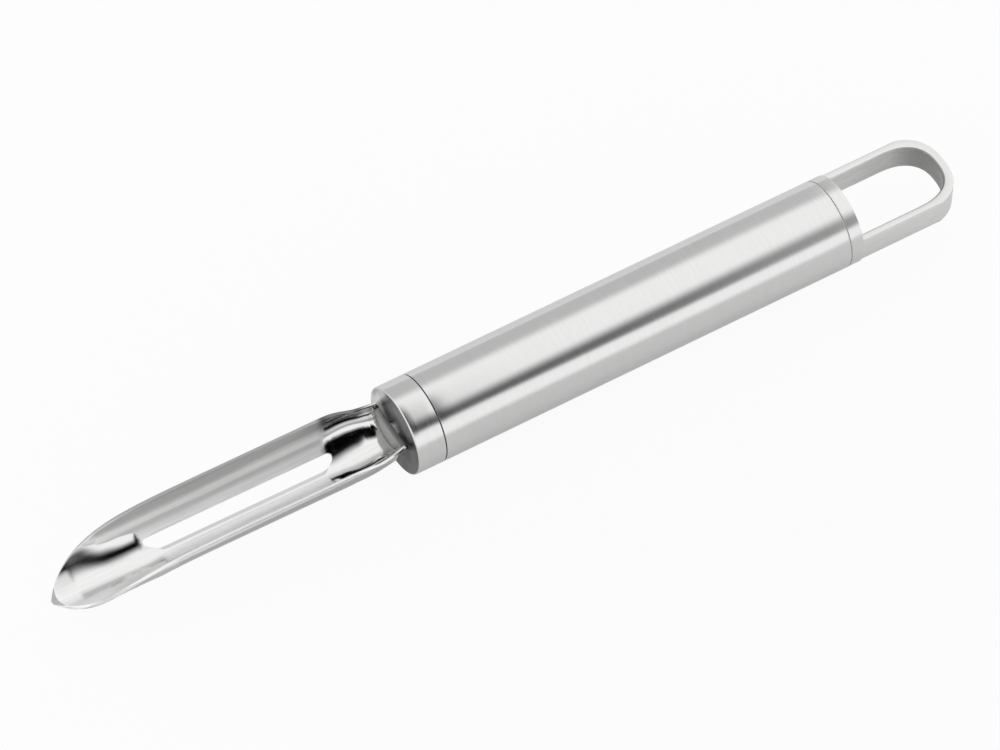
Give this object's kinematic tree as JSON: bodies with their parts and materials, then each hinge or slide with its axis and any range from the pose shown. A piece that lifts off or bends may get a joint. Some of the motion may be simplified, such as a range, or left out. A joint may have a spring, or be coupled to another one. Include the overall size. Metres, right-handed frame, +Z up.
{
  "type": "vegetable peeler",
  "caption": "Vegetable peeler with a round steel tube handle, a hanging loop and a half-round, slotted, spoon-tipped blade that swivels about the handle's axis.",
  "frame": {"origin": "under the middle of the peeler's length, on the surface that the handle lies on", "axes": "+X runs along the handle from the blade to the hanging loop, +Y goes across the blade, and +Z is up, the way the blade's trough opens"},
  "size_m": [0.195, 0.018, 0.018],
  "materials": {
    "polished_steel": "polished stainless sheet with faint lengthwise polishing lines",
    "brushed_steel": "satin stainless, brushed around the handle",
    "turned_steel": "turned stainless",
    "spring_steel": "dark spring steel",
    "bearing_bronze": "sintered bronze",
    "washer_polymer": "plain bearing polymer",
    "joint_adhesive": "dark cured adhesive"
  },
  "bodies": {
    "handle": {"front_cap": "brushed_steel", "pivot_bush": "bearing_bronze", "thrust_washer": "washer_polymer", "front_joint_ring": "joint_adhesive", "handle_tube": "brushed_steel", "rear_joint_ring": "joint_adhesive", "rear_cap_with_loop": "brushed_steel"},
    "swivel_blade": {"blade": "polished_steel", "end_plate": "polished_steel", "pivot_shaft": "turned_steel", "stop_pin": "turned_steel", "retaining_ring": "spring_steel"}
  },
  "joints": [
    {"name": "blade_swivel", "type": "hinge", "parent": "handle", "child": "swivel_blade", "pos_m": [-0.0145, 0, 0.009], "axis": [1, 0, 0], "range_deg": [-20, 20]}
  ]
}
